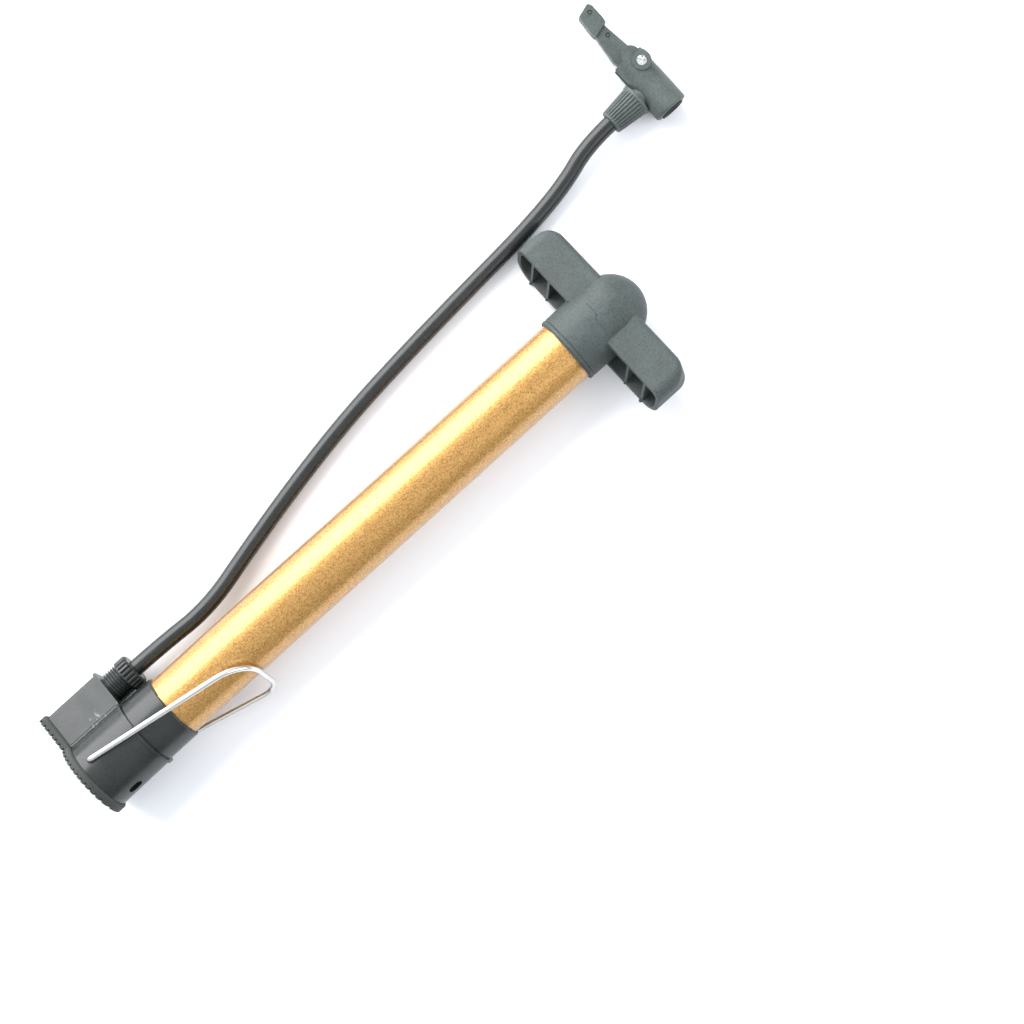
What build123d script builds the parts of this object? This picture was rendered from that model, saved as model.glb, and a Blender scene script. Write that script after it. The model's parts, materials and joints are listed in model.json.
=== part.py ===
"""A T-handled mini pump with a hose, a lever valve head and a wire foot stirrup, lying on a table.

+X runs along the barrel towards the T-handle, +Y towards the hose and +Z up. The origin is on the
table, under the middle of the pump. Distances called s are measured along the barrel from the foot.
"""
import os
from math import atan2, cos, degrees, pi, radians, sin, sqrt, tan

from build123d import *

os.makedirs("parts", exist_ok=True)

# Driving dimensions, mm and degrees.
pump_length = 305.5
axis_height = 18.1
base_roll = 18.5      # the hose lug leans down until its corner meets the table
handle_roll = 13.2    # one arm of the T leans down until its tip meets the table
running_fit = 0.05
table_gap = 0.1

barrel_radius = 14.0
barrel_bore = 13.0
barrel_foot = 33.0
barrel_top = 277.0

pad_thickness = 3.8
pad_radius = 17.3
pad_reach = 32.7
pad_half_width = 8.7
tread_pitch = 2.6
tread_width = 1.0
tread_depth = 1.3
tongue_height = 1.9

skirt_radius = 15.7
skirt_foot_radius = 16.1
skirt_top = 30.5
rim = 0.7
rim_length = 1.2
lug_reach = 31.4
lug_half_width = 7.5
lug_root_fillet = 2.0
collar_radius = 15.2
collar_top = 46.0
slot_roll = 26.0
wall = 2.2
cavity_top = 17.0

gland_offset = 24.0
gland_radius = 6.0
gland_foot = 24.0
gland_top = 38.0
gland_cap_top = 43.8
gland_cap_radius = 7.4

hose_radius = 3.6
hose_start = 39.0
hose_end = 348.0

wire_radius = 1.2
stirrup_pivot_s = 8.3
stirrup_pivot_side = 1.0
stirrup_half_width = 17.35
stirrup_clearance = 0.4
stirrup_corners = (15.0, 8.0)
loop_s = 83.2
loop_roll = 30.5       # the loop is twisted a little against its pivots
loop_drop = 2.5
wire_end_bend = 1.3
wire_tip = 12.2

rod_radius = 4.0
rod_foot = 36.6
rod_top = 296.5
piston_foot = 40.2
piston_top = 52.2

sleeve_radius = 15.3
sleeve_bore = 14.35
sleeve_foot = 265.5
sleeve_groove = 267.6
sleeve_shoulder = 280.0
dome_centre = pump_length - sleeve_radius
shell = 2.0
boss_radius = 6.5
arm_half_span = 44.0
arm_half_height = 10.0
arm_crown = 296.5
arm_upper_mouth = 279.5
arm_lower_mouth = 274.7
arm_upper_corner = 5.0
arm_lower_corner = 9.4
arm_plan_corner = 9.0
arm_crown_fillet = 2.5
arm_crown_wall = 6.0
rib_places = (24.7, 34.7)
rib_thickness = 1.3

head_radius = 7.7
head_s = 367.0
head_front = 45.8
head_length = 27.8
head_bore = 5.5
boss_rise = 0.6
head_pivot = 22.8
head_pivot_side = -3.0
ear_side = -1.4
slot_floor = 17.4
slot_half = 2.8
lever_half = 2.5
lever_travel = 1.5
pusher_back = head_pivot - 3.6
valve_bore = 3.9
nut_place = 12.8
nut_length = 15.2

foot_x = -pump_length / 2
pump_axis = Axis((0, 0, axis_height), (1, 0, 0))


def across(s, roll=0.0):
    """Plane square to the barrel at s: x to the hose side, rolled down, and y up."""
    side = (0, cos(radians(roll)), -sin(radians(roll)))
    return Plane(origin=(foot_x + s, 0, axis_height), x_dir=side, z_dir=(1, 0, 0))


def rolled(s, side, up, roll):
    """Point at s, side and up in the frame of a piece rolled about the barrel's axis."""
    turn = radians(roll)
    y = side * cos(turn) + up * sin(turn)
    z = axis_height - side * sin(turn) + up * cos(turn)
    return Vector(foot_x + s, y, z)


# Plane through the barrel's axis: x is s and y is the radius.
axial = Plane(origin=(foot_x, 0, axis_height), x_dir=(1, 0, 0), z_dir=(0, -1, 0))

# Plane level with the valve head's axis: x from its axis to the nut, y from its front to its back.
head_height = head_radius + table_gap
head_point = (foot_x + head_s, head_front, head_height)
head_level = Plane(origin=head_point, x_dir=(-1, 0, 0), z_dir=(0, 0, -1))


def head_across(depth):
    """Plane square to the valve head's axis, depth behind its front, x to the nut and y up."""
    origin = (foot_x + head_s, head_front + depth, head_height)
    return Plane(origin=origin, x_dir=(-1, 0, 0), z_dir=(0, 1, 0))


def nut_across(reach):
    """Plane square to the hose nut's axis, reach from the valve head's axis, z away from the head."""
    origin = (foot_x + head_s - reach, head_front + nut_place, head_height)
    return Plane(origin=origin, x_dir=(0, 1, 0), z_dir=(-1, 0, 0))


def bar(plane, radius, length, bore=0.0, centre=(0, 0)):
    """Round bar or tube from a plane, added to the part being built."""
    with BuildSketch(plane) as section:
        with Locations(centre):
            Circle(radius)
            if bore:
                Circle(bore, mode=Mode.SUBTRACT)
    extrude(section.sketch, amount=length)


def cut(plane, radius, length, centre=(0, 0)):
    """Round hole from a plane, taken from the part being built."""
    with BuildSketch(plane) as section:
        with Locations(centre):
            Circle(radius)
    extrude(section.sketch, amount=length, mode=Mode.SUBTRACT)


def turned(points, mode=Mode.ADD):
    """Solid turned about the barrel's axis from (s, radius) points."""
    with BuildSketch(axial) as profile:
        with BuildLine():
            Polyline(*points, close=True)
        make_face()
    revolve(profile.sketch, axis=pump_axis, mode=mode)


def ribbed_outline(count, outer, inner):
    """Closed outline of a knob with flat-topped ribs, for use inside a sketch."""
    step = 2 * pi / count
    shares = ((0.0, outer), (0.45, outer), (0.6, inner), (0.85, inner))
    points = []
    for rib in range(count):
        for share, radius in shares:
            angle = (rib + share) * step
            points.append((radius * cos(angle), radius * sin(angle)))
    with BuildLine() as outline:
        Polyline(*points, close=True)
    make_face(outline.edges())


def foot_outline(radius, reach, half_width, corner, root=0.0):
    """Keyhole outline of the foot: a round with a square-ended lug to one side."""
    Circle(radius)
    with Locations((reach / 2, 0)):
        Rectangle(reach, 2 * half_width)
    fillet(vertices().sort_by(Axis.X)[-2:], radius=corner)
    if root:
        fillet(vertices().sort_by(Axis.X)[:2], radius=root)


def finish(piece, name):
    piece.label = name
    export_step(piece, f"parts/{name}.step")
    print(name, round(piece.volume, 1))


# Foot pad: a rubber sole with grooves across it and a tongue up into the housing.
with BuildPart() as foot_pad:
    with BuildSketch(across(0, base_roll)):
        foot_outline(pad_radius, pad_reach, pad_half_width, 2.5)
    extrude(amount=pad_thickness)
    chamfer(foot_pad.faces().sort_by(Axis.X)[-1].outer_wire().edges(), length=0.7)
    with BuildSketch(across(0, base_roll)):
        groove_count = int((pad_radius + pad_reach) / tread_pitch)
        groove_middle = (pad_reach - pad_radius) / 2
        with Locations((groove_middle, 0)):
            with GridLocations(tread_pitch, 0, groove_count, 1):
                Rectangle(tread_width, 3 * pad_radius)
    extrude(amount=tread_depth, mode=Mode.SUBTRACT)
    with BuildSketch(across(pad_thickness, base_roll)):
        Circle(skirt_radius - wall - 0.1)
        Circle(skirt_radius - wall - 2.1, mode=Mode.SUBTRACT)
    extrude(amount=tongue_height)
finish(foot_pad.part, "foot_pad")

# Base housing: skirt and lug below, collar above, with the valve chamber and its air passage inside.
with BuildPart() as base_housing:
    with BuildSketch(across(pad_thickness, base_roll)):
        foot_outline(skirt_radius, lug_reach, lug_half_width, 1.6, lug_root_fillet)
    extrude(amount=skirt_top - pad_thickness)
    turned(
        (
            (pad_thickness, 0),
            (pad_thickness, skirt_foot_radius),
            (skirt_top, skirt_radius),
            (skirt_top, 0),
        )
    )
    with BuildSketch(across(skirt_top - rim_length, base_roll)):
        foot_outline(skirt_radius + rim, lug_reach + rim, lug_half_width + rim, 1.8, lug_root_fillet)
    extrude(amount=rim_length)
    bar(across(skirt_top, base_roll), collar_radius, collar_top - skirt_top)
    fillet(base_housing.faces().sort_by(Axis.X)[-1].outer_wire().edges(), radius=0.5)
    collar_waist = collar_radius - 0.4
    turned(
        (
            (skirt_top, collar_waist),
            (skirt_top, collar_radius + 0.1),
            (skirt_top + 0.7, collar_radius + 0.1),
            (skirt_top + 0.7, collar_waist),
        ),
        mode=Mode.SUBTRACT,
    )
    # Hollow underside, open to the foot pad.
    with BuildSketch(across(pad_thickness, base_roll)):
        foot_outline(skirt_radius - wall, lug_reach - wall, lug_half_width - wall, 0.8)
    extrude(amount=cavity_top - pad_thickness, mode=Mode.SUBTRACT)
    # Barrel socket, valve seat with its ports, and the chamber below.
    cut(across(barrel_foot - 1.5, base_roll), barrel_radius + 0.03, collar_top)
    cut(across(20.0, base_roll), 6.0, 7.0)
    cut(across(cavity_top, base_roll), 6.0, 3.0)
    cut(across(27.0, base_roll), 1.2, barrel_foot)
    with BuildSketch(across(27.0, base_roll)):
        with PolarLocations(3.2, 6):
            Circle(0.9)
    extrude(amount=barrel_foot, mode=Mode.SUBTRACT)
    # Socket for the gland, and the passage to it from the chamber.
    cut(across(21.0, base_roll), gland_radius, 12.0, (gland_offset, 0))
    passage = Plane(
        origin=rolled(22.6, 0, 0, base_roll),
        x_dir=(1, 0, 0),
        z_dir=(0, cos(radians(base_roll)), -sin(radians(base_roll))),
    )
    cut(passage, 1.2, gland_offset)
    # Pivot holes for the stirrup's ends, and a slot in the side away from the lug.
    pivot_hole = Plane(
        origin=rolled(stirrup_pivot_s, stirrup_pivot_side, -20, base_roll),
        x_dir=(1, 0, 0),
        z_dir=(0, sin(radians(base_roll)), cos(radians(base_roll))),
    )
    cut(pivot_hole, wire_radius + running_fit, 40)
    slot = Plane(
        origin=rolled(13.5, 0, 0, base_roll),
        x_dir=(1, 0, 0),
        z_dir=(0, -cos(radians(slot_roll)), sin(radians(slot_roll))),
    )
    with BuildSketch(slot):
        SlotOverall(6.5, 4.0)
    extrude(amount=20, mode=Mode.SUBTRACT)
finish(base_housing.part, "base_housing")

# Check valve: a rubber umbrella under the seat, held by its bulb.
with BuildPart() as check_valve:
    turned(
        (
            (25.6, 0),
            (25.6, 2.0),
            (26.2, 4.8),
            (26.98, 4.8),
            (26.98, 1.15),
            (31.6, 1.15),
            (31.9, 1.7),
            (33.4, 0.8),
            (33.4, 0),
        )
    )
finish(check_valve.part, "check_valve")

with BuildPart() as valve_plug:
    bar(across(cavity_top, base_roll), 5.97, 3.0)
    with BuildSketch(across(cavity_top, base_roll)):
        Rectangle(7, 1.2)
    extrude(amount=1.2, mode=Mode.SUBTRACT)
finish(valve_plug.part, "valve_plug")

# Barrel: a plain tube, sealed at the foot and closed by the rod's guide at the top.
with BuildPart() as barrel:
    bar(across(barrel_foot), barrel_radius, barrel_top - barrel_foot, barrel_bore)
finish(barrel.part, "barrel")

with BuildPart() as barrel_seal:
    bar(across(barrel_foot - 1.48), 13.95, 1.46, 11.0)
finish(barrel_seal.part, "barrel_seal")

guide_foot = 266.0
with BuildPart() as top_guide:
    bar(across(guide_foot), barrel_bore - 0.02, barrel_top - guide_foot)
    bar(across(barrel_top), barrel_radius - 0.2, 1.6)
    cut(across(guide_foot - 1), rod_radius + running_fit, 20)
    cut(across(guide_foot - 1), 7.0, 4.0)
finish(top_guide.part, "top_guide")

with BuildPart() as guide_seal:
    bar(across(guide_foot + 0.1), 6.95, 2.8, rod_radius + running_fit)
finish(guide_seal.part, "guide_seal")

# Gland: a threaded stub out of the lug, a ribbed cap on it, and the barb that the hose is pushed on.
gland_at = (gland_offset, 0)
with BuildPart() as outlet_gland:
    bar(across(gland_foot, base_roll), gland_radius - 0.02, gland_top - gland_foot, 1.6, gland_at)
    thread_count = 6
    thread_pitch = (gland_top - skirt_top - 0.5) / thread_count
    for turn in range(thread_count):
        thread_s = skirt_top + 0.3 + turn * thread_pitch
        with BuildSketch(across(thread_s, base_roll)):
            with Locations(gland_at):
                Circle(6.85)
                Circle(gland_radius - 0.5, mode=Mode.SUBTRACT)
        extrude(amount=thread_pitch * 0.55)
    cut(across(gland_top - 5.0, base_roll), 2.4, 6.0, gland_at)
finish(outlet_gland.part, "outlet_gland")

with BuildPart() as gland_cap:
    with BuildSketch(across(gland_top, base_roll)):
        with BuildSketch(Plane.XY, mode=Mode.PRIVATE) as ribbed:
            ribbed_outline(22, gland_cap_radius, gland_cap_radius - 0.6)
        with Locations(gland_at):
            add(ribbed.sketch)
            Circle(hose_radius + 0.02, mode=Mode.SUBTRACT)
    extrude(amount=gland_cap_top - gland_top)
    chamfer(gland_cap.faces().sort_by(Axis.X)[-1].outer_wire().edges(), length=0.35)
finish(gland_cap.part, "gland_cap")

with BuildPart() as gland_barb:
    bar(across(gland_top - 5.0, base_roll), 2.38, hose_start - gland_top + 5.0, 1.4, gland_at)
finish(gland_barb.part, "gland_barb")

# Hose: straight runs joined by tangent arcs as large as the runs allow.
gland_end = rolled(hose_start, gland_offset, 0, base_roll)
nut_line = (head_front + nut_place, head_height)
hose_route = [
    (hose_start, gland_end.Y, gland_end.Z),
    (57.0, gland_end.Y, gland_end.Z),
    (83.0, 21.1, 7.2),
    (113.0, 28.7, 4.1),
    (146.0, 35.8, 3.7),
    (181.0, 41.6, 3.7),
    (216.0, 44.9, 3.7),
    (251.0, 47.3, 3.7),
    (285.0, 49.2, 3.7),
    (312.0, 52.6, 4.4),
    (331.0, nut_line[0], nut_line[1]),
    (hose_end, nut_line[0], nut_line[1]),
]
hose_points = [Vector(foot_x + s, y, z) for s, y, z in hose_route]
runs = [b - a for a, b in zip(hose_points, hose_points[1:])]
hose_radii = []
for before, after in zip(runs, runs[1:]):
    half_turn = radians(before.get_angle(after)) / 2
    hose_radii.append(0.45 * min(before.length, after.length) / tan(half_turn))
print("hose arc radii", [round(radius) for radius in hose_radii])
with BuildPart() as hose:
    with BuildLine() as hose_path:
        FilletPolyline(*hose_points, radius=hose_radii)
    with BuildSketch(Plane(origin=hose_points[0], z_dir=runs[0])):
        Circle(hose_radius)
    sweep(path=hose_path.line)
hose_length = sum(edge.length for edge in hose_path.edges())
volume_share = hose.part.volume / (pi * hose_radius**2 * hose_length)
print("hose length", round(hose_length, 1), "volume over section times length", round(volume_share, 4))
finish(hose.part, "hose")

# Stirrup: one wire, its ends bent in to the housing, its loop resting against the barrel.
loop_side = -(barrel_radius + wire_radius + stirrup_clearance)
with BuildPart() as stirrup:
    with BuildLine() as stirrup_path:
        FilletPolyline(
            rolled(stirrup_pivot_s, stirrup_pivot_side, wire_tip, base_roll),
            rolled(stirrup_pivot_s, stirrup_pivot_side, stirrup_half_width, base_roll),
            rolled(loop_s, loop_side, stirrup_half_width - loop_drop, loop_roll),
            rolled(loop_s, loop_side, -stirrup_half_width - loop_drop, loop_roll),
            rolled(stirrup_pivot_s, stirrup_pivot_side, -stirrup_half_width, base_roll),
            rolled(stirrup_pivot_s, stirrup_pivot_side, -wire_tip, base_roll),
            radius=[wire_end_bend, *stirrup_corners, wire_end_bend],
        )
    with BuildSketch(Plane(origin=stirrup_path.line @ 0, z_dir=stirrup_path.line % 0)):
        Circle(wire_radius)
    sweep(path=stirrup_path.line)
finish(stirrup.part, "stirrup")

# Piston: a moulded core with a rubber cup in its groove.
with BuildPart() as piston_core:
    turned(
        (
            (piston_foot, rod_radius + running_fit),
            (piston_foot, 12.6),
            (43.0, 12.6),
            (43.0, 9.0),
            (48.0, 9.0),
            (48.0, 12.6),
            (piston_top, 12.6),
            (piston_top, rod_radius + running_fit),
        )
    )
finish(piston_core.part, "piston_core")

with BuildPart() as piston_cup:
    turned(
        (
            (43.1, 9.05),
            (43.1, 10.0),
            (45.6, 10.6),
            (43.1, 12.0),
            (43.1, 12.94),
            (47.9, 12.6),
            (47.9, 9.05),
        )
    )
finish(piston_cup.part, "piston_cup")

# Rod, with the nut and the collar that hold the piston between them.
with BuildPart() as piston_rod:
    bar(across(rod_foot), rod_radius, rod_top - rod_foot)
    chamfer(piston_rod.edges().filter_by(GeomType.CIRCLE), length=0.4)
finish(piston_rod.part, "piston_rod")

with BuildPart() as piston_nut:
    with BuildSketch(across(rod_foot + 0.6)):
        RegularPolygon(6.9, 6)
        Circle(rod_radius, mode=Mode.SUBTRACT)
    extrude(amount=2.8)
finish(piston_nut.part, "piston_nut")

with BuildPart() as rod_collar:
    bar(across(piston_top + 0.2), 6.5, 2.0, rod_radius)
finish(rod_collar.part, "rod_collar")

# T-handle: hollow arms open towards the foot, a sleeve over the barrel and a round crown.
arm_slope = atan2(arm_upper_mouth - arm_lower_mouth, 2 * arm_half_height)
arm_middle = (arm_upper_mouth + arm_lower_mouth) / 2
mouth_point = rolled(arm_middle, 0, 0, handle_roll)
mouth_up = Vector(0, sin(radians(handle_roll)), cos(radians(handle_roll)))
mouth_normal = Vector(cos(arm_slope), 0, 0) - mouth_up * sin(arm_slope)
mouth = Plane(origin=mouth_point, z_dir=mouth_normal)


def arm_outline(inset):
    """Section of both arms, seen along the barrel: small corners above and large ones below."""
    Rectangle(2 * (arm_half_span - inset), 2 * (arm_half_height - inset))
    upper = vertices().group_by(Axis.Y)[-1]
    fillet(upper, radius=arm_upper_corner - inset)
    lower = vertices().group_by(Axis.Y)[0]
    fillet(lower, radius=arm_lower_corner - inset)


arm_start = arm_lower_mouth - 4.0
with BuildPart() as t_handle:
    with BuildSketch(across(arm_start, handle_roll)):
        with BuildSketch(Plane.XY, mode=Mode.PRIVATE) as flat_section:
            arm_outline(0)
        add(flat_section.sketch)
    extrude(amount=arm_crown - arm_start)
    plan = Plane(origin=rolled(arm_start, 0, -20, handle_roll), x_dir=(1, 0, 0), z_dir=mouth_up)
    with BuildSketch(plan):
        with Locations(((arm_crown - arm_start) / 2, 0)):
            Rectangle(arm_crown - arm_start, 2 * arm_half_span)
        fillet(vertices().group_by(Axis.X)[-1], radius=arm_plan_corner)
    extrude(amount=40, mode=Mode.INTERSECT)
    split(bisect_by=mouth, keep=Keep.TOP)
    corner_start = foot_x + arm_crown - arm_plan_corner - 0.1
    crown_edges = [edge for edge in t_handle.edges() if edge.bounding_box().min.X > corner_start]
    fillet(crown_edges, radius=arm_crown_fillet)
    # Pockets between the ribs, leaving a wall all round and the middle for the sleeve.
    with BuildSketch(across(arm_start, handle_roll)):
        with BuildSketch(Plane.XY, mode=Mode.PRIVATE) as pockets:
            arm_outline(shell)
            Rectangle(2 * (sleeve_radius - 1), 3 * arm_half_height, mode=Mode.SUBTRACT)
            for place in rib_places:
                with Locations((place, 0), (-place, 0)):
                    Rectangle(rib_thickness, 3 * arm_half_height, mode=Mode.SUBTRACT)
        add(pockets.sketch)
    extrude(amount=arm_crown - arm_crown_wall - arm_start, mode=Mode.SUBTRACT)
    # Sleeve and crown, then the hollow inside them around the rod's boss.
    with BuildSketch(axial):
        with BuildLine():
            Polyline(
                (dome_centre, sleeve_radius),
                (sleeve_groove + 0.4, sleeve_radius),
                (sleeve_groove, sleeve_radius - 0.3),
                (sleeve_groove - 0.4, sleeve_radius),
                (sleeve_foot + 0.6, sleeve_radius),
                (sleeve_foot, sleeve_radius - 0.5),
                (sleeve_foot, 0),
                (dome_centre + sleeve_radius, 0),
            )
            CenterArc((dome_centre, 0), sleeve_radius, 0, 90)
        make_face()
    revolve(axis=pump_axis)
    cut(across(sleeve_foot), sleeve_bore, sleeve_shoulder - sleeve_foot)
    hollow_radius = sleeve_radius - shell
    hollow_end = dome_centre + sqrt(hollow_radius**2 - boss_radius**2)
    with BuildSketch(axial):
        with BuildLine():
            Line((sleeve_shoulder - 1, boss_radius), (sleeve_shoulder - 1, hollow_radius))
            Line((sleeve_shoulder - 1, hollow_radius), (dome_centre, hollow_radius))
            hollow_angle = degrees(atan2(boss_radius, hollow_end - dome_centre))
            CenterArc((dome_centre, 0), hollow_radius, hollow_angle, 90 - hollow_angle)
            Line((hollow_end, boss_radius), (sleeve_shoulder - 1, boss_radius))
        make_face()
    revolve(axis=pump_axis, mode=Mode.SUBTRACT)
    cut(across(sleeve_shoulder - 1), rod_radius, rod_top - sleeve_shoulder + 1.2)
    with BuildSketch(across(284.0, handle_roll)):
        RegularPolygon(5.6, 6)
    extrude(amount=4.0, mode=Mode.SUBTRACT)
finish(t_handle.part, "t_handle")

with BuildPart() as handle_nut:
    with BuildSketch(across(284.02, handle_roll)):
        RegularPolygon(5.58, 6)
        Circle(rod_radius, mode=Mode.SUBTRACT)
    extrude(amount=3.96)
finish(handle_nut.part, "handle_nut")

# Valve head: a round body with two ears at the back for the lever, and a stub for the hose nut.
with BuildPart() as head_body:
    bar(head_across(0), head_radius, 33.0)
    fillet(head_body.faces().sort_by(Axis.Y)[0].edges(), radius=1.2)
    with BuildSketch(head_level.offset(-20)):
        with Locations((0, head_length / 2)):
            Rectangle(2 * head_radius + 1, head_length)
        fillet(vertices().group_by(Axis.Y)[-1], radius=2.0)
        with Locations((ear_side, head_length - 0.5)):
            Circle(4.2)
    extrude(amount=40, mode=Mode.INTERSECT)
    # Round bosses over the pin on both ears.
    with BuildSketch(head_level.offset(-head_radius - boss_rise)):
        with Locations((head_pivot_side, head_pivot)):
            Circle(4.1)
    extrude(amount=2 * head_radius + boss_rise)
    bar(nut_across(head_bore), 5.0, 8.3)
    cut(nut_across(0), 1.8, 20)
    cut(nut_across(head_bore + 4.0), 2.4, 6.0)
    cut(head_across(-1), head_bore, pusher_back + 1.4)
    with BuildSketch(head_level.offset(-slot_half)):
        with Locations((0, slot_floor + 10)):
            Rectangle(30, 20)
    extrude(amount=2 * slot_half, mode=Mode.SUBTRACT)
    with BuildSketch(head_level.offset(-20)):
        with Locations((head_pivot_side, head_pivot)):
            Circle(2.15)
    extrude(amount=40, mode=Mode.SUBTRACT)
finish(head_body.part, "head_body")

with BuildPart() as head_nut:
    with BuildSketch(nut_across(head_radius + 0.2)):
        Circle(7.2)
    extrude(amount=1.3)
    with BuildSketch(nut_across(head_radius + 1.5)):
        ribbed_outline(24, 6.9, 6.35)
    with BuildSketch(nut_across(head_radius + 0.2 + nut_length)):
        ribbed_outline(24, 5.4, 4.95)
    loft(ruled=True)
    cut(nut_across(head_radius), 5.02, 6.2)
    cut(nut_across(head_radius), hose_radius + 0.02, 20)
finish(head_nut.part, "head_nut")

barb_end = head_s - hose_end
with BuildPart() as head_barb:
    bar(nut_across(head_bore + 4.0), 2.38, barb_end - head_bore - 4.0, 1.4)
finish(head_barb.part, "head_barb")

gasket_front = -0.8
valve_bore_end = 8.2
with BuildPart() as valve_gasket:
    bar(head_across(gasket_front), head_bore - 0.05, 12.0 - gasket_front, valve_bore)
    cut(head_across(valve_bore_end), valve_bore + 0.6, 5.0)
    fillet(valve_gasket.faces().sort_by(Axis.Y)[0].outer_wire().edges(), radius=0.4)
finish(valve_gasket.part, "valve_gasket")

with BuildPart() as pusher:
    bar(head_across(14.2), head_bore - running_fit, pusher_back - 14.2)
    bar(head_across(10.0), 2.2, 4.3)
finish(pusher.part, "pusher")

with BuildPart() as depressor_pin:
    bar(head_across(8.5), 1.0, 1.48)
finish(depressor_pin.part, "depressor_pin")

with BuildPart() as lever_pin:
    pin_top = head_level.offset(-head_radius - boss_rise - 0.05)
    with BuildSketch(pin_top):
        with Locations((head_pivot_side, head_pivot)):
            Circle(2.15)
    extrude(amount=2 * head_radius + boss_rise + 0.1)
    with BuildSketch(pin_top):
        with Locations((head_pivot_side, head_pivot)):
            Rectangle(5, 0.8, rotation=35)
            Rectangle(5, 0.8, rotation=125)
    extrude(amount=0.9, mode=Mode.SUBTRACT)
finish(lever_pin.part, "lever_pin")

# Lever: an eccentric in the slot, a flat arm and a thicker thumb pad with round ejector marks.
arm_points = ((-4.2, 24.0), (4.4, 26.0), (5.4, 30.8), (3.6, 45.5), (-2.0, 45.5), (-3.75, 31.2))
pad_points = (
    (-3.3, 45.1),
    (0.8, 44.2),
    (4.1, 43.3),
    (4.3, 45.5),
    (3.7, 54.1),
    (-2.7, 56.0),
    (-3.7, 54.2),
    (-3.7, 47.5),
)
pad_half = 3.7
ejector_marks = (((-0.4, 40.6), lever_half), ((-1.0, 52.6), pad_half))
with BuildPart() as lever:
    with BuildSketch(head_level.offset(-lever_half)):
        with Locations((head_pivot_side, head_pivot + lever_travel)):
            Circle(head_pivot - pusher_back + lever_travel - 0.1)
        with BuildLine():
            Polyline(*arm_points, close=True)
        make_face()
    extrude(amount=2 * lever_half)
    with BuildSketch(head_level.offset(-pad_half)):
        with BuildLine():
            Polyline(*pad_points, close=True)
        make_face()
        fillet(vertices(), radius=0.6)
    extrude(amount=2 * pad_half)
    with BuildSketch(head_level.offset(-20)):
        with Locations((head_pivot_side, head_pivot)):
            Circle(2.15 + running_fit)
    extrude(amount=40, mode=Mode.SUBTRACT)
    for place, height in ejector_marks:
        with BuildSketch(head_level.offset(-height)):
            with Locations(place):
                Circle(1.1)
                Circle(0.5, mode=Mode.SUBTRACT)
        extrude(amount=0.6, mode=Mode.SUBTRACT)
finish(lever.part, "lever")
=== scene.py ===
# %% [markdown]
# # A T-handled mini pump
#
# The object is a slim bicycle pump lying on a white table. Its barrel is a lacquered metal tube, its foot
# and T-handle are moulded dark plastic, and a rubber hose runs from the foot to a lever valve head.
# The CAD solids are loaded first and are never moved. Everything that is made here is placed from them,
# in metres, and most of the lesson is about surfaces and finishes: what each one is on the real pump,
# how it could be made, and why one way was chosen.

# %% Load the CAD frame
import json
from math import radians

import bpy
import numpy as np
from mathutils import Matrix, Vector


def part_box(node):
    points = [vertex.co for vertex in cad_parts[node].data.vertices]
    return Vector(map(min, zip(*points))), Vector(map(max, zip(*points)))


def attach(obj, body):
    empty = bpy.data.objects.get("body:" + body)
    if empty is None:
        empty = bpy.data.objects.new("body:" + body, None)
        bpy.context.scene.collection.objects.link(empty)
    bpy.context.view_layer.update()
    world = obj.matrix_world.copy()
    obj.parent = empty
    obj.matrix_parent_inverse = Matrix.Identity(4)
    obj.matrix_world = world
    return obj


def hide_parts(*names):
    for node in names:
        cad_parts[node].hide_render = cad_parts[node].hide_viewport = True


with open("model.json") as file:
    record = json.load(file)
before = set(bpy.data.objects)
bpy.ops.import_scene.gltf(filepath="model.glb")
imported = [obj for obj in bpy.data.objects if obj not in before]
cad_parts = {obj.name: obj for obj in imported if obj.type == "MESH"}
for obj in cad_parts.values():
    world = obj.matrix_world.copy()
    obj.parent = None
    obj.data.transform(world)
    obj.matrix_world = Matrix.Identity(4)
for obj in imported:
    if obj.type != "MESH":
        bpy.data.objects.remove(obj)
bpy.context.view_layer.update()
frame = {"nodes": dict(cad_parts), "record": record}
nodes = frame["nodes"]

# %% [markdown]
# ## Distances along the barrel
#
# The pump lies along X with its foot at the low end. Places could be written as plain coordinates, but a
# distance from the foot in millimetres is easier to say and to check on a real pump. The axis height and
# the foot's place come from the CAD boxes, so they can't drift away from the solids.

# %% Places along the barrel
MM = 0.001
FOOT_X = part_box("foot_pad")[0].x
barrel_low, barrel_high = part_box("barrel")
AXIS_Z = (barrel_low.z + barrel_high.z) / 2


def along(s, y, z):
    """Point at s mm from the foot, y and z mm in the object's frame."""
    return (FOOT_X + s * MM, y * MM, z * MM)


barrel_width = barrel_high.z - barrel_low.z
print("foot at x", round(FOOT_X, 5), "axis at z", round(AXIS_Z, 5), "barrel width", round(barrel_width, 5))

# %% [markdown]
# ## Camera
#
# The pump is seen from straight above, from about a metre. A wide lens close by would bend the barrel's
# ends away, so the lens is a short telephoto. The camera is turned about the vertical, which makes the
# barrel run up to the right.

# %% Camera above the table
CAMERA_PLACE = (0.0513, -0.0344, 1.013)
CAMERA_TURN = -42.16
camera = bpy.data.objects.new("camera", bpy.data.cameras.new("camera"))
bpy.context.scene.collection.objects.link(camera)
bpy.context.scene.camera = camera
camera.location = CAMERA_PLACE
camera.rotation_euler = (0, 0, radians(CAMERA_TURN))
camera.data.lens = 84.4
camera.data.sensor_width = 36
print("camera", tuple(round(x, 3) for x in camera.location))

# %% [markdown]
# ## Hose
#
# A rubber hose has a fixed length and bends only gently. It could be a mesh tube swept along arcs, but then
# each arc shows as a kink in the light. It is one NURBS curve of order 3 with few control points instead:
# such a curve never overshoots its points, and its bends stay slow. It leaves the gland in line with the
# barrel, sinks to the table, drifts away from the barrel and ends in the valve head's nut.

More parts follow.
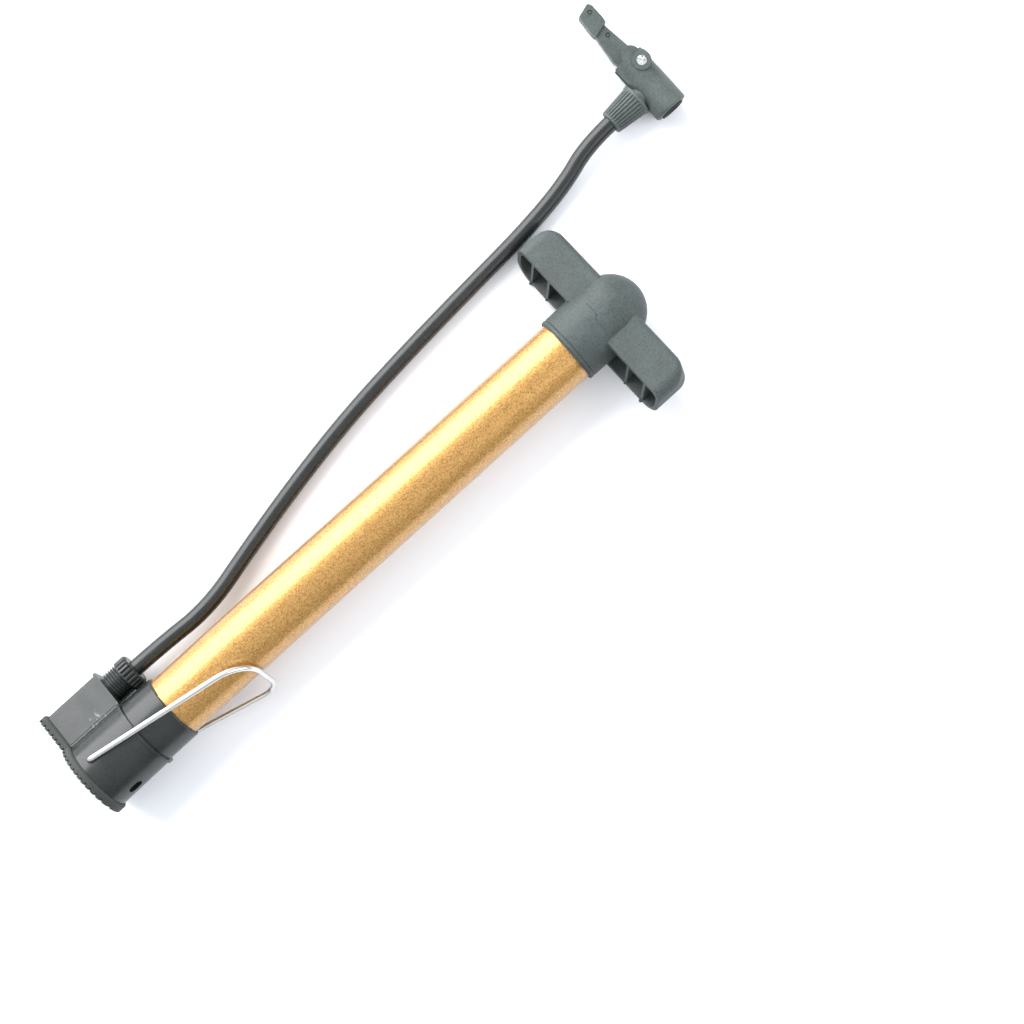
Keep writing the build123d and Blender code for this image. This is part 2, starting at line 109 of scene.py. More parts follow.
# %% Hose on its route
HOSE_RADIUS = 3.6 * MM
GLAND_LINE = (22.760, 10.485)  # y and z in mm of the line that the gland and its cap lie on
NUT_LINE = (58.6, 7.8)  # y and z in mm of the line that the nut lies on
hose_route = [
    along(39, *GLAND_LINE),
    along(57, *GLAND_LINE),
    along(83, 21.1, 7.2),
    along(113, 28.7, 4.1),
    along(146, 35.8, 3.7),
    along(181, 41.6, 3.7),
    along(216, 44.9, 3.7),
    along(251, 47.3, 3.7),
    along(285, 49.2, 3.7),
    along(312, 52.6, 4.4),
    along(331, *NUT_LINE),
    along(348, *NUT_LINE),
]
hose_curve = bpy.data.curves.new("hose_tube", "CURVE")
hose_curve.dimensions = "3D"
hose_line = hose_curve.splines.new("NURBS")
hose_line.points.add(len(hose_route) - 1)
hose_line.points.foreach_set("co", [x for point in hose_route for x in (*point, 1)])
hose_line.order_u = 3
hose_line.use_endpoint_u = True
hose_line.resolution_u = 12
hose_curve.bevel_depth = HOSE_RADIUS
hose_curve.bevel_resolution = 10
hose_curve.use_fill_caps = True
hose_tube = bpy.data.objects.new("hose_tube", hose_curve)
bpy.context.scene.collection.objects.link(hose_tube)
print("hose control points", len(hose_route))

# %% [markdown]
# ## White floor
#
# The table is covered with matt white paper. One large flat face is enough for it, because paper this
# evenly lit shows no grain. This step also brings in the three helpers that every finish uses: one turns a
# hex colour to linear light, one adds a shader node, and one starts a material.

# %% White floor
FLOOR_HALF = 4


def linear(hex_colour):
    """sRGB hex as linear RGBA: the low part is divided by 12.92, the rest is a power of 2.4."""
    parts = np.array([int(hex_colour[i : i + 2], 16) for i in (0, 2, 4)]) / 255
    values = np.where(parts <= 0.04045, parts / 12.92, ((parts + 0.055) / 1.055) ** 2.4)
    return (*values.tolist(), 1.0)


def add_node(tree, kind, sockets=None, **settings):
    """Adds one node: settings are its properties, sockets its values or the outputs linked to them."""
    made = tree.nodes.new(kind)
    for name, value in settings.items():
        setattr(made, name, value)
    for name, value in (sockets or {}).items():
        if isinstance(value, bpy.types.NodeSocket):
            tree.links.new(value, made.inputs[name])
        else:
            made.inputs[name].default_value = value
    return made


def new_finish(name, **values):
    """A material with a bare Principled shader, its own sockets set; returns it, its tree and the shader."""
    material = bpy.data.materials.new(name)
    material.use_nodes = True
    tree = material.node_tree
    shader = tree.nodes["Principled BSDF"]
    for socket, value in values.items():
        shader.inputs[socket.replace("_", " ")].default_value = value
    return material, tree, shader


floor_corners = [(x * FLOOR_HALF, y * FLOOR_HALF, 0) for x, y in ((-1, -1), (1, -1), (1, 1), (-1, 1))]
floor_mesh = bpy.data.meshes.new("floor")
floor_mesh.from_pydata(floor_corners, [], [(0, 1, 2, 3)])
floor = bpy.data.objects.new("floor", floor_mesh)
bpy.context.scene.collection.objects.link(floor)
floor_mesh.materials.append(new_finish("floor_paper", Base_Color=linear("F8F9FB"), Roughness=0.9)[0])
print("floor", 2 * FLOOR_HALF, "m wide at z = 0")

# %% [markdown]
# ## Lamps and sky
#
# Daylight from a window is large and soft. The sky alone could give it, but a lamp is easier to place and
# to explain. One large lamp stands on the hose's side and puts the bright band on that side of the
# barrel. A weaker one on the other side, beyond the T-handle, keeps that side from going black. The sky is
# brightest overhead and a little to the window's side, so glossy plastic has something uneven to mirror.

# %% Lamps and sky
def soft_lamp(name, place, aim, size, power):
    """Square area lamp at a place, turned to a point."""
    lamp = bpy.data.objects.new(name, bpy.data.lights.new(name, "AREA"))
    bpy.context.scene.collection.objects.link(lamp)
    lamp.location = place
    lamp.rotation_euler = (Vector(aim) - Vector(place)).to_track_quat("-Z", "Y").to_euler()
    lamp.data.size = size
    lamp.data.energy = power
    return lamp


window_lamp = soft_lamp("window_side", (0.0, 1.33, 0.76), (0, 0, 0), 1.6, 49)
handle_lamp = soft_lamp("handle_side", (0.75, -0.7, 0.75), (0.15, 0, 0), 1.0, 7)
BRIGHTEST_WAY = (0, 0.35, 0.94)
sky = bpy.data.worlds.new("sky")
bpy.context.scene.world = sky
sky.use_nodes = True
background = sky.node_tree.nodes["Background"]
background.inputs["Color"].default_value = linear("F4F8FF")
direction = add_node(sky.node_tree, "ShaderNodeTexCoord").outputs["Generated"]
sockets = {0: direction, 1: BRIGHTEST_WAY}
towards = add_node(sky.node_tree, "ShaderNodeVectorMath", sockets, operation="DOT_PRODUCT").outputs["Value"]
sockets = {"Value": towards, "From Min": -0.35, "From Max": 1.0, "To Min": 0.34, "To Max": 1.25}
sky_strength = add_node(sky.node_tree, "ShaderNodeMapRange", sockets)
sky.node_tree.links.new(sky_strength.outputs["Result"], background.inputs["Strength"])
bpy.context.scene.view_settings.view_transform = "Standard"
print("lamps of", window_lamp.data.energy, "and", handle_lamp.data.energy, "W and a pale sky")

# %% [markdown]
# ## Barrel lacquer
#
# The tube is sprayed with a gold lacquer full of metal flakes, under a clear coat. The flakes give the eye
# a fine sparkle, and the coat a sharper shine over a soft one. Flakes are far too small to model, and plain
# noise has no edges, so a Voronoi pattern gives each flake its own brightness and tilt.

# %% Gold flake lacquer
# Real flakes are about 0.1 mm, which doesn't show from a metre, so they are drawn about four times as wide.
FLAKE_WIDTH = 0.42 * MM
FLAKE_HEIGHT = 0.05 * MM
CLOUD_WIDTH = 1.1 * MM
# A Mix node has a set of sockets for each kind of value. These are the numbers of those for colours.
SHARE, FIRST, SECOND, MIXED = 0, 6, 7, 2
coat = {"Coat_Weight": 1.0, "Coat_Roughness": 0.2}
gold_lacquer, tree, shader = new_finish("gold_flake_lacquer", Metallic=0.8, Roughness=0.42, **coat)
place = add_node(tree, "ShaderNodeTexCoord").outputs["Object"]
flakes = add_node(tree, "ShaderNodeTexVoronoi", {"Vector": place, "Scale": 1 / FLAKE_WIDTH})
flake_share = add_node(tree, "ShaderNodeSeparateColor", {"Color": flakes.outputs["Color"]}).outputs["Red"]
clouds = add_node(tree, "ShaderNodeTexNoise", {"Vector": place, "Scale": 1 / CLOUD_WIDTH, "Detail": 3.0})
sockets = {"Value": clouds.outputs["Fac"], "From Min": 0.35, "From Max": 0.65}
cloudy = add_node(tree, "ShaderNodeMapRange", sockets).outputs["Result"]
sockets = {SHARE: cloudy, FIRST: linear("C4944A"), SECOND: linear("CDA058")}
lacquer = add_node(tree, "ShaderNodeMix", sockets, data_type="RGBA").outputs[MIXED]
sockets = {"Value": flake_share, "From Min": 0.35, "From Max": 1.0}
speck = add_node(tree, "ShaderNodeMapRange", sockets).outputs["Result"]
sockets = {SHARE: speck, FIRST: lacquer, SECOND: linear("9C6C2C")}
speckled = add_node(tree, "ShaderNodeMix", sockets, data_type="RGBA").outputs[MIXED]
tree.links.new(speckled, shader.inputs["Base Color"])
tilt = add_node(tree, "ShaderNodeBump", {"Height": flake_share, "Strength": 0.2, "Distance": FLAKE_HEIGHT})
tree.links.new(tilt.outputs["Normal"], shader.inputs["Normal"])
print(gold_lacquer.name, len(tree.nodes), "nodes")

# %% [markdown]
# ## Moulded plastics and rubbers
#
# The foot, the handle and the valve head of such a pump are moulded from a dark plastic such as ABS, the
# sole and the seals from rubber, and the hose is extruded. Handling has left them dusty, so they look grey
# rather than black. The foot and the hose are glossy and mirror the window, and the handle is matt. One
# function makes them all, because only the colours, the gloss and the grain differ. A plain colour would
# look like a drawing, so broad clouds vary the shade and the gloss, and a fine grain makes the bump.

# %% Moulded plastic finishes
# A mould's grain is about 0.1 mm wide. It is drawn 0.5 to 1.5 mm wide here, because finer doesn't show.
DUST_WIDTH = 9 * MM


def moulded_plastic(name, dark, light, roughness, grain, depth):
    """Dark plastic: two greys in soft clouds, and a mould grain of that width and depth in the bump."""
    material, tree, shader = new_finish(name, IOR=1.49)
    place = add_node(tree, "ShaderNodeTexCoord").outputs["Object"]
    sockets = {"Vector": place, "Scale": 1 / DUST_WIDTH, "Detail": 5.0, "Roughness": 0.6}
    clouds = add_node(tree, "ShaderNodeTexNoise", sockets).outputs["Fac"]
    sockets = {"Vector": place, "Scale": 1 / grain, "Detail": 3.0}
    fine = add_node(tree, "ShaderNodeTexNoise", sockets).outputs["Fac"]
    both = add_node(tree, "ShaderNodeMath", {0: clouds, 1: fine}, operation="ADD").outputs["Value"]
    sockets = {"Value": both, "From Min": 0.75, "From Max": 1.25}
    shade = add_node(tree, "ShaderNodeMapRange", sockets).outputs["Result"]
    sockets = {SHARE: shade, FIRST: linear(dark), SECOND: linear(light)}
    colour = add_node(tree, "ShaderNodeMix", sockets, data_type="RGBA").outputs[MIXED]
    tree.links.new(colour, shader.inputs["Base Color"])
    sockets = {"Value": clouds, "From Min": 0.3, "From Max": 0.7}
    sockets |= {"To Min": roughness - 0.06, "To Max": roughness + 0.08}
    gloss = add_node(tree, "ShaderNodeMapRange", sockets).outputs["Result"]
    tree.links.new(gloss, shader.inputs["Roughness"])
    bump = add_node(tree, "ShaderNodeBump", {"Height": fine, "Strength": 0.5, "Distance": depth})
    tree.links.new(bump.outputs["Normal"], shader.inputs["Normal"])
    return material


base_plastic = moulded_plastic("moulded_abs_base", "1C201F", "262B29", 0.27, 0.9 * MM, 0.03 * MM)
handle_plastic = moulded_plastic("matt_moulded_handle", "343B39", "495250", 0.6, 0.8 * MM, 0.1 * MM)
head_plastic = moulded_plastic("moulded_head", "3F4744", "545D59", 0.5, 0.8 * MM, 0.08 * MM)
sole_rubber = moulded_plastic("moulded_sole_rubber", "2E312E", "3D423D", 0.7, 0.6 * MM, 0.08 * MM)
hose_rubber = moulded_plastic("extruded_hose_rubber", "1A1D1C", "222625", 0.25, 1.5 * MM, 0.02 * MM)
seal_rubber = moulded_plastic("nitrile_seal", "1E1F1F", "262828", 0.6, 0.5 * MM, 0.03 * MM)
inner_plastic = moulded_plastic("natural_acetal", "C9C6BB", "D8D5CB", 0.4, 0.8 * MM, 0.02 * MM)
print("plastics and rubbers, each of", len(base_plastic.node_tree.nodes), "nodes")

# %% [markdown]
# ## Scuffs on the foot
#
# The lug at the foot has a few short pale scratches where it has been knocked. They could be thin pieces of
# mesh, but a scratch has no height to speak of, so they are colour only: noise stretched along one way,
# kept where it is strongest and only near one point. They are random, so they form no letters.

# %% Pale scratches near one point
# Real scratches are about 0.1 mm wide. They are drawn about half a millimetre wide so that they show.
SCRATCH_WIDTH = 0.5 * MM


def scuffed(material, centre, reach, pale):
    """Short pale scratches within reach of a point: stretched noise above a level, faded by the distance."""
    tree = material.node_tree
    shader = tree.nodes["Principled BSDF"]
    place = add_node(tree, "ShaderNodeTexCoord").outputs["Object"]
    distance = add_node(tree, "ShaderNodeVectorMath", {0: place, 1: centre}, operation="DISTANCE")
    sockets = {"Value": distance.outputs["Value"], "From Min": reach, "From Max": 0.4 * reach}
    near = add_node(tree, "ShaderNodeMapRange", sockets).outputs["Result"]
    sockets = {"Vector": place, "Rotation": (0, 0, 0.9), "Scale": (1.0, 0.12, 0.12)}
    stretched = add_node(tree, "ShaderNodeMapping", sockets).outputs["Vector"]
    sockets = {"Vector": stretched, "Scale": 1 / SCRATCH_WIDTH}
    lines = add_node(tree, "ShaderNodeTexNoise", sockets).outputs["Fac"]
    sockets = {"Value": lines, "From Min": 0.6, "From Max": 0.68}
    marks = add_node(tree, "ShaderNodeMapRange", sockets).outputs["Result"]
    share = add_node(tree, "ShaderNodeMath", {0: marks, 1: near}, operation="MULTIPLY").outputs["Value"]
    below = shader.inputs["Base Color"].links[0].from_socket
    sockets = {SHARE: share, FIRST: below, SECOND: linear(pale)}
    scratched = add_node(tree, "ShaderNodeMix", sockets, data_type="RGBA").outputs[MIXED]
    tree.links.new(scratched, shader.inputs["Base Color"])


scuffed(base_plastic, along(19.5, 17.0, 20.0), 5.0 * MM, "8F9892")
print(base_plastic.name, "scuffed, now", len(base_plastic.node_tree.nodes), "nodes")

# %% [markdown]
# ## Bright metals
#
# The stirrup is nickel-plated wire, the rod is drawn steel and the barbs are turned brass. All three give
# the eye a bright mirror that is slightly broken up by tool marks. The marks could be a bump, but they are
# so shallow that only the gloss changes, so a fine noise drives the roughness alone.

# %% Metal finishes
def bright_metal(name, colour, roughness, streaks):
    """Plated or drawn metal: its colour, and fine streaks that change its roughness.

    Real streaks are about 0.02 mm wide. They are drawn about 1 mm wide, because finer doesn't show.
    """
    material, tree, shader = new_finish(name, Base_Color=linear(colour), Metallic=1.0, Roughness=roughness)
    place = add_node(tree, "ShaderNodeTexCoord").outputs["Object"]
    sockets = {"Vector": place, "Scale": 1 / streaks, "Detail": 4.0}
    fine = add_node(tree, "ShaderNodeTexNoise", sockets).outputs["Fac"]
    sockets = {"Value": fine, "From Min": 0.3, "From Max": 0.7}
    sockets |= {"To Min": roughness - 0.03, "To Max": roughness + 0.06}
    rubbed = add_node(tree, "ShaderNodeMapRange", sockets).outputs["Result"]
    tree.links.new(rubbed, shader.inputs["Roughness"])
    return material


nickel_wire = bright_metal("nickel_plated_wire", "DADAD6", 0.2, 1.2 * MM)
drawn_steel = bright_metal("drawn_steel_rod", "B9BCBE", 0.24, 1.0 * MM)
turned_brass = bright_metal("turned_brass", "C9A24F", 0.26, 0.8 * MM)
print("metals", nickel_wire.name, drawn_steel.name, turned_brass.name)

# %% [markdown]
# ## A finish for every CAD node
#
# The record already says which material slot each piece of the pump belongs to. Finishes could be given
# piece by piece, but one table from slot to finish says it once and can't miss a piece.

# %% Give every CAD node its finish
finish_of_slot = {
    "barrel_paint": gold_lacquer,
    "base_plastic": base_plastic,
    "handle_plastic": handle_plastic,
    "head_plastic": head_plastic,
    "sole_rubber": sole_rubber,
    "hose_rubber": hose_rubber,
    "seal_rubber": seal_rubber,
    "bright_wire": nickel_wire,
    "rod_steel": drawn_steel,
    "brass": turned_brass,
    "inner_plastic": inner_plastic,
}
slot_of_node = {part["node"]: part["material_slot"] for part in frame["record"]["subparts"]}
for name, node in nodes.items():
    node.data.materials.clear()
    node.data.materials.append(finish_of_slot[slot_of_node[name]])
print(len(nodes), "nodes have their finish")

# %% [markdown]
# ## Skins from grids of points
#
# The solid model draws the knobs and the thread as plain rings and straight ribs. On the real parts they
# are moulded, with rounded ribs and a helical thread. They could be cut with many booleans, which leaves
# ragged meshes. Here each piece is one closed skin over a grid of points instead: a section is carried
# round an axis, and its radius changes with the angle.

# %% A closed mesh over a grid
def skin(name, grid, finish, ring=True):
    """Closed mesh over a rows x columns grid of points in metres.

    Columns always join round. Rows join too when ring is true; otherwise the two end rows are capped. The
    faces are turned over if the volume, a sixth of the sum of a . (b x c) over all triangles, is negative.
    """
    rows, columns = grid.shape[:2]
    index = np.arange(rows * columns).reshape(rows, columns)
    after = np.roll(index, -1, axis=1)
    low, high = (index, np.roll(index, -1, axis=0)) if ring else (index[:-1], index[1:])
    low_after, high_after = (after, np.roll(after, -1, axis=0)) if ring else (after[:-1], after[1:])
    quads = np.stack([low, high, high_after, low_after], axis=-1).reshape(-1, 4)
    points = grid.reshape(-1, 3)
    middle = points - points.mean(axis=0)
    a, b, c, d = (middle[quads[:, corner]] for corner in range(4))
    volume = (a * np.cross(b, c)).sum() + (a * np.cross(c, d)).sum()
    faces = quads.tolist()
    if not ring:
        faces += [index[0].tolist(), index[-1][::-1].tolist()]
    if volume < 0:
        faces = [face[::-1] for face in faces]
    mesh = bpy.data.meshes.new(name)
    mesh.from_pydata(points.tolist(), [], faces)
    mesh.polygons.foreach_set("use_smooth", np.ones(len(faces), dtype=bool))
    mesh.materials.append(finish)
    mesh.update()
    made = bpy.data.objects.new(name, mesh)
    bpy.context.scene.collection.objects.link(made)
    return made


def from_foot(grid):
    """Grid of (distance from the foot, y, z) in mm as points in metres."""
    return grid * MM + np.array([FOOT_X, 0, 0])


print("skins are placed from x", round(FOOT_X, 4))

# %% [markdown]
# ## Loops carried round a line
#
# A knob, a cap and a threaded stub are all turned shapes with something pressed into them. A Spin would
# make the turned shape alone. Here the section is a closed loop of (distance, radius) points, carried round
# its line, and a function of the place and the angle swells or sinks the radius on the way.

# %% Loops carried round a line
def loop_of(corners, step):
    """Closed loop through (s, radius) corners in mm, filled in evenly so that no step is longer than step."""
    corners = np.array(corners + corners[:1], dtype=float)
    pieces = []
    for start, end in zip(corners, corners[1:]):
        count = max(1, int(np.ceil(np.hypot(*(end - start)) / step)))
        pieces.append(start + (end - start) * np.arange(count)[:, None] / count)
    return np.concatenate(pieces)


def turned_skin(name, loop, columns, swell, centre, finish):
    """Skin of a loop carried round a line along X at centre (y, z) in mm.

    The radius at each place is the loop's radius plus swell(s, radius, angle).
    """
    angle = np.linspace(0, 2 * np.pi, columns, endpoint=False)[None, :]
    s, radius = loop[:, :1], loop[:, 1:]
    radius = radius + swell(s, radius, angle)
    y = centre[0] + radius * np.cos(angle)
    z = centre[1] + radius * np.sin(angle)
    return skin(name, from_foot(np.stack(np.broadcast_arrays(s, y, z), axis=-1)), finish)


def ramp(value, low, high):
    """0 below low, 1 above high and a smooth step between."""
    share = np.clip((value - low) / (high - low), 0, 1)
    return share * share * (3 - 2 * share)


AXIS_LINE = (0.0, AXIS_Z / MM)
print("gland at y, z", GLAND_LINE, "nut at y, z", NUT_LINE, "barrel at z", round(AXIS_LINE[1], 2))

# %% [markdown]
# ## Gland thread
#
# The gland is a moulded stub with a coarse outside thread, which its cap screws onto. A thread could be
# made with a Screw modifier, but then its ends stop in an open cut. A ridge that winds round the skin and
# fades in and out at both ends stays closed, and it looks like a moulded thread's run-out. The pitch is
# guessed from what such glands have.

# %% Gland thread
THREAD_PITCH = 1.25
THREAD_HEIGHT = 0.9
THREAD_STARTS = (30.7, 31.6)
THREAD_STOPS = (37.3, 37.9)


def thread_swell(s, radius, angle):
    """A rounded crest that winds once per pitch on the outside, fading in and out at the thread's ends."""
    turn = (s / THREAD_PITCH - angle / (2 * np.pi)) % 1.0
    crest = THREAD_HEIGHT * ramp(0.5 - np.abs(turn - 0.5), 0.1, 0.36)
    outside = radius > 5.0
    ends = ramp(s, *THREAD_STARTS) * (1 - ramp(s, *THREAD_STOPS))
    return outside * ends * (crest - 0.05)


gland_corners = [(24, 1.6), (24, 5.98), (38, 5.98), (38, 2.4), (33, 2.4), (33, 1.6)]
gland_loop = loop_of(gland_corners, 0.11)
gland_thread = turned_skin("gland_thread", gland_loop, 72, thread_swell, GLAND_LINE, base_plastic)
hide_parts("outlet_gland")
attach(gland_thread, "pump_body")
print(gland_thread.name, len(gland_thread.data.polygons), "faces")

# %% [markdown]
# ## Ribbed cap on the gland
#
# The cap is a finger nut that clamps the hose. Its rim has short square teeth with gaps between them. They
# could be separate blocks in a ring, but on the real cap they run into one another at their roots, so the
# gaps are pressed into one skin by a smooth step.

# %% Ribbed cap
CAP_RIBS = 22
CAP_GAP = 1.0


def cap_swell(s, radius, angle):
    """Gaps between the teeth: the radius drops in each one, only near the rim and past the plain lip."""
    tooth = 0.5 + 0.5 * np.cos(CAP_RIBS * angle)
    gap = 1 - ramp(tooth, 0.12, 0.5)
    return -CAP_GAP * gap * ramp(radius, 5.2, 7.0) * ramp(s, 38.7, 39.1)


cap_loop = loop_of([(38, 3.62), (38, 7.0), (38.3, 7.4), (42.9, 7.35), (43.8, 6.5), (43.8, 3.62)], 0.3)
ribbed_cap = turned_skin("ribbed_cap", cap_loop, CAP_RIBS * 12, cap_swell, GLAND_LINE, base_plastic)
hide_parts("gland_cap")
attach(ribbed_cap, "pump_body")
print(ribbed_cap.name, len(ribbed_cap.data.polygons), "faces")

# %% [markdown]
# ## Ribbed nut at the valve head
#
# This nut is tapered, and its long rounded ribs fade out before a lip at the small end and a flange at the
# big one. An array of rib pieces would need its own taper, so the valleys are pressed into the same kind of
# skin as the cap, and two smooth steps fade them out.

# %% Ribbed nut
NUT_RIBS = 26
NUT_VALLEY = 0.65


def nut_swell(s, radius, angle):
    """Rounded ribs down the taper, fading before the lip at the small end and before the flange."""
    rib = 0.5 + 0.5 * np.cos(NUT_RIBS * angle)
    valley = 1 - ramp(rib, 0.1, 0.75)
    return -NUT_VALLEY * valley * (radius > 5.2) * ramp(s, 344.3, 345.6) * (1 - ramp(s, 356.9, 357.5))


nut_corners = [(343.9, 3.62), (343.9, 4.9), (344.3, 5.35), (357.6, 6.85), (357.7, 7.2), (359.1, 7.2)]
nut_corners += [(359.1, 5.02), (353.1, 5.02), (353.1, 3.62)]
nut_loop = loop_of(nut_corners, 0.4)
ribbed_nut = turned_skin("ribbed_nut", nut_loop, NUT_RIBS * 12, nut_swell, NUT_LINE, head_plastic)
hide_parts("head_nut")
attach(ribbed_nut, "pump_body")
print(ribbed_nut.name, len(ribbed_nut.data.polygons), "faces")

# %% [markdown]
# ## Screw that the lever turns on
#
# The lever swings on a bright screw whose head shows in a round boss. A boolean cut would give the recess
# hard, uneven faces. The head is a height that depends on the place across it instead, so the dome and the
# cross-shaped recess are one formula with soft edges.

# %% Screw
SCREW_RADIUS = 2.15
SCREW_DOME = 0.3
SCREW_RECESS = 0.9
SCREW_FOOT = 0.05
pin_low, pin_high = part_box("lever_pin")
PIN_TOP = pin_high.z / MM


def screw_grid():
    """Rows run from the middle of the head out, down the shank and in again under it.

    The head is domed by 0.3 mm times the square of the radius over the screw's radius, and a cross-shaped
    recess 0.9 mm deep and about 0.8 mm wide is sunk into it.
    """
    angle = np.linspace(0, 2 * np.pi, 96, endpoint=False)[None, :]
    out = np.linspace(0.03, SCREW_RADIUS, 40)[:, None]
    u, v = out * np.cos(angle - 0.6), out * np.sin(angle - 0.6)
    across = np.minimum(np.abs(u), np.abs(v))
    recess = SCREW_RECESS * (1 - ramp(across, 0.3, 0.48)) * (1 - ramp(out, 2.0, 2.14))
    top = PIN_TOP - SCREW_DOME * (out / SCREW_RADIUS) ** 2 - recess
    head = np.stack(np.broadcast_arrays(out * np.cos(angle), out * np.sin(angle), top), axis=-1)
    shank = np.stack([head[-1], head[-1], head[-1] * 0.02], axis=0)
    shank[0, :, 2] = PIN_TOP - 0.5
    shank[1:, :, 2] = SCREW_FOOT
    return np.concatenate([head, shank])


screw_place = np.array([(pin_low.x + pin_high.x) / 2, (pin_low.y + pin_high.y) / 2, 0])
cross_screw = skin("cross_screw", screw_grid() * MM + screw_place, nickel_wire, ring=False)
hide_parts("lever_pin")
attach(cross_screw, "pump_body")
print(cross_screw.name, len(cross_screw.data.polygons), "faces")

# %% [markdown]
# ## Moulding flash
#
# Cheap mouldings keep the marks of their mould. Where two halves of a mould meet, a little plastic creeps
# out and leaves a thin ragged lip. Random displacement would look like crumpled paper, because flash
# wanders slowly and frays finely at once. Each lip is a ring whose edge is a sum of sines, slow and fast.

# %% Ragged lips on the sleeve and the collar
def wander(angle, waves, shift):
    """Sum of sines with amplitude 1 over the square root of the wave number, scaled to stay within 1."""
    waves = np.array(waves, dtype=float)[:, None, None]
    parts = np.sin(waves * angle[None] + shift * waves**1.3) / np.sqrt(waves)
    return parts.sum(axis=0) / (1 / np.sqrt(waves)).sum()


def lip(name, s, inner, outer, reach, shift, finish, body):
    """Thin ring round the barrel, from inner to outer radius in mm, whose edge wanders by about reach.

    The edge lies at s plus reach times the sum of 0.6 and 0.8 of the wander, where the ring is up to 0.2 mm
    thinner.
    """
    angle = np.linspace(0, 2 * np.pi, 360, endpoint=False)[None, :]
    edge = wander(angle, [3, 7, 13, 22, 37, 58], shift)
    rough = wander(angle, [5, 11, 19, 41, 67], shift + 1)
    along_it = np.array([0.0, 0.0, 1.0, 1.0])[:, None]
    thick = np.array([0.0, 1.0, 1.0, 0.0])[:, None]
    place = s + along_it * reach * (0.6 + 0.8 * edge) + 0.3 * np.sign(-reach) * (1 - along_it)
    radius = inner + thick * (outer - inner + 0.1 * (rough - 1) * along_it)
    z = AXIS_LINE[1] + radius * np.sin(angle)
    grid = np.stack(np.broadcast_arrays(place, radius * np.cos(angle), z), axis=-1)
    made = skin(name, from_foot(grid), finish)
    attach(made, body)
    return made


sleeve_lip = lip("sleeve_lip", 265.5, 14.5, 15.25, -0.35, 0.4, handle_plastic, "handle")
collar_lip = lip("collar_lip", 46.0, 14.05, 14.75, 0.45, 1.7, base_plastic, "pump_body")
print(sleeve_lip.name, collar_lip.name, len(collar_lip.data.polygons), "faces each")

# %% [markdown]
# ## Fine ridges left by the mould
#
# Two hair-thin ridges run along the crease of the housing, and a crooked one crosses the T-handle's crown.
# A bump could draw them, but they catch the light on both sides and cast a shadow, so they are thin bars
# along a path, half sunk in the surface. The crown's line steps sideways by a tanh where the mould's halves
# don't quite meet.

# %% Fine ridges
BASE_ROLL = 18.5
HANDLE_ROLL = 13.2
CROWN_RADIUS = 15.3


def ridge(name, path, radius, finish, body):
    """Thin round bar along a path of points in mm, half sunk in the surface that the path lies on."""
    path = np.asarray(path, dtype=float)
    ahead = np.gradient(path, axis=0)
    ahead /= np.linalg.norm(ahead, axis=1, keepdims=True)
    side = np.cross(ahead, [0, 0, 1.0])
    side /= np.linalg.norm(side, axis=1, keepdims=True)
    up = np.cross(side, ahead)
    angle = np.linspace(0, 2 * np.pi, 8, endpoint=False)[None, :, None]
    grid = path[:, None] + radius * (np.cos(angle) * side[:, None] + np.sin(angle) * up[:, None])
    made = skin(name, from_foot(grid), finish, ring=False)
    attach(made, body)
    return made


def rolled(s, side, up, roll):
    """Point in mm of a piece rolled about the barrel's axis by roll degrees."""
    turn = np.radians(roll)
    y = side * np.cos(turn) + up * np.sin(turn)
    z = AXIS_LINE[1] - side * np.sin(turn) + up * np.cos(turn)
    return np.stack(np.broadcast_arrays(s, y, z), axis=-1)


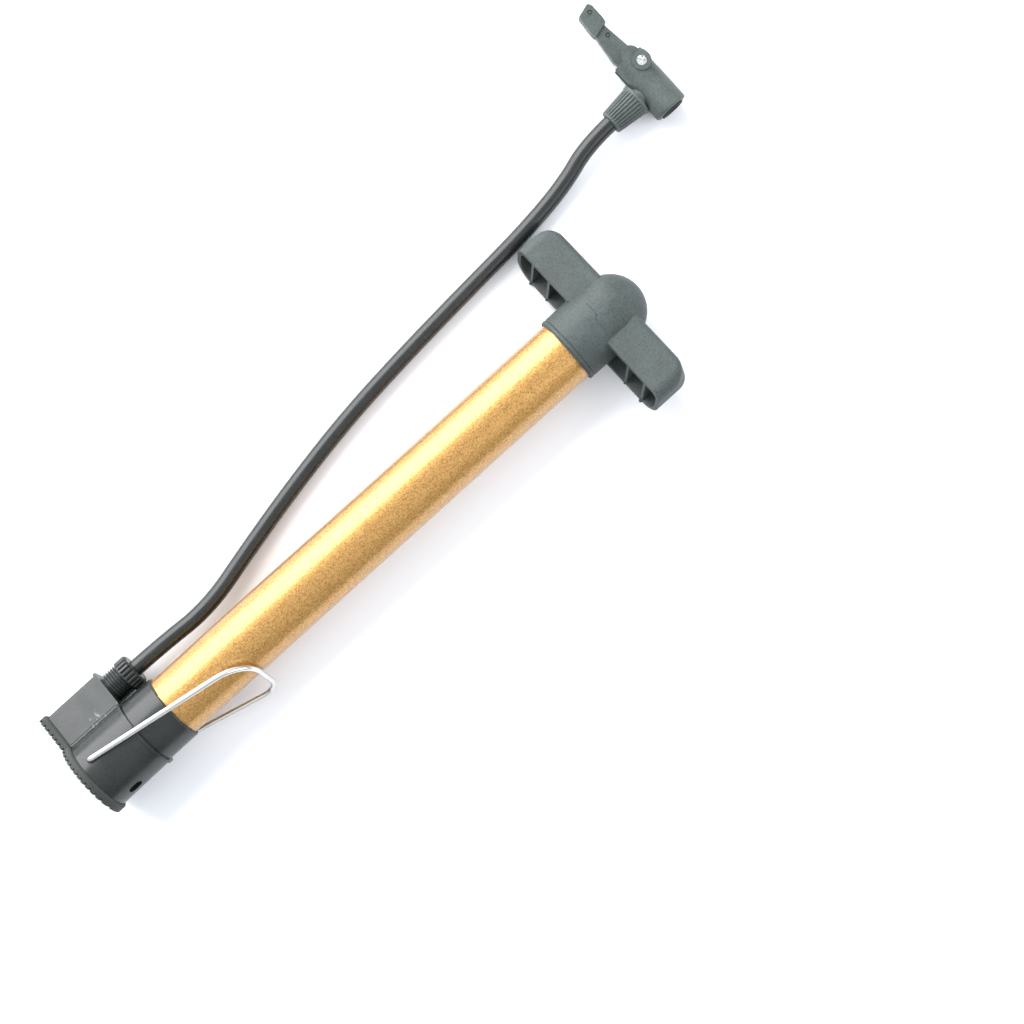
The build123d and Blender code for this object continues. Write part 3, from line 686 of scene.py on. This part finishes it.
s = np.linspace(4.4, 29.0, 40)
inner_path = rolled(s, 13.4 - 0.006 * s, 8.5 - 0.003 * s, BASE_ROLL)
outer_path = rolled(s, 14.95, 7.5, BASE_ROLL)
ridge("crease_ridge_inner", inner_path, 0.17, base_plastic, "pump_body")
ridge("crease_ridge_outer", outer_path, 0.17, base_plastic, "pump_body")
turn = np.linspace(34, -20, 60)
step = 0.9 * np.tanh((turn - 8) / 2.5) + 0.25 * np.sin(turn * 0.9) * np.exp(-(((turn - 8) / 6) ** 2))
crown_y = CROWN_RADIUS * np.sin(np.radians(turn))
crown_z = AXIS_LINE[1] + CROWN_RADIUS * np.cos(np.radians(turn))
crown_path = np.stack([283.1 + step, crown_y, crown_z], axis=-1)
ridge("crown_line", crown_path, 0.2, handle_plastic, "handle")
print("three ridges, of", len(s), len(s), "and", len(turn), "rows")

# %% [markdown]
# ## Burrs at the mouth of the T-handle
#
# Where the arms' inner ribs meet the lower edge, the mould has left small crumbs of plastic. Plain balls
# would look like beads, so each crumb is a ball whose radius wanders with the angle.

# %% Burrs
def burr_grid(centre, size, shift):
    """Small ball in mm whose radius wanders by a tenth; the poles are left as tiny rings."""
    angle = np.linspace(0, 2 * np.pi, 20, endpoint=False)[None, :]
    fall = np.linspace(0.06, np.pi - 0.06, 12)[:, None]
    radius = size * (1 + 0.1 * np.sin(3 * angle + shift) * np.sin(2 * fall + shift))
    x = radius * np.sin(fall) * np.cos(angle)
    y = radius * np.sin(fall) * np.sin(angle)
    ball = np.stack(np.broadcast_arrays(x, y, radius * np.cos(fall)), axis=-1)
    return from_foot(ball + centre)


burr_sizes = [(24.7, 0.55), (34.7, 0.75), (-24.7, 0.4), (-34.7, 0.8)]
for number, (side, size) in enumerate(burr_sizes):
    centre = rolled(274.6, side, -9.3, HANDLE_ROLL)
    burr = skin(f"mouth_burr_{number + 1}", burr_grid(centre, size, side), handle_plastic, ring=False)
    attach(burr, "handle")
print(len(burr_sizes), "burrs of", [size for side, size in burr_sizes], "mm radius")

# %% [markdown]
# ## The hose in place of its CAD tube
#
# The hose takes the place of its plain CAD tube. It gets the rubber finish and hangs from the pump's
# body. The valve head's pieces lie on its far end, and are listed here.

# %% Hose in place of its CAD tube
hose_curve.materials.append(hose_rubber)
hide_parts("hose")
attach(hose_tube, "pump_body")
head_pieces = ["head_body", "head_nut", "head_barb", "valve_gasket"]
head_pieces += ["pusher", "depressor_pin", "lever_pin", "lever"]
print("hose declared, with", len(head_pieces) + 2, "pieces at its far end")
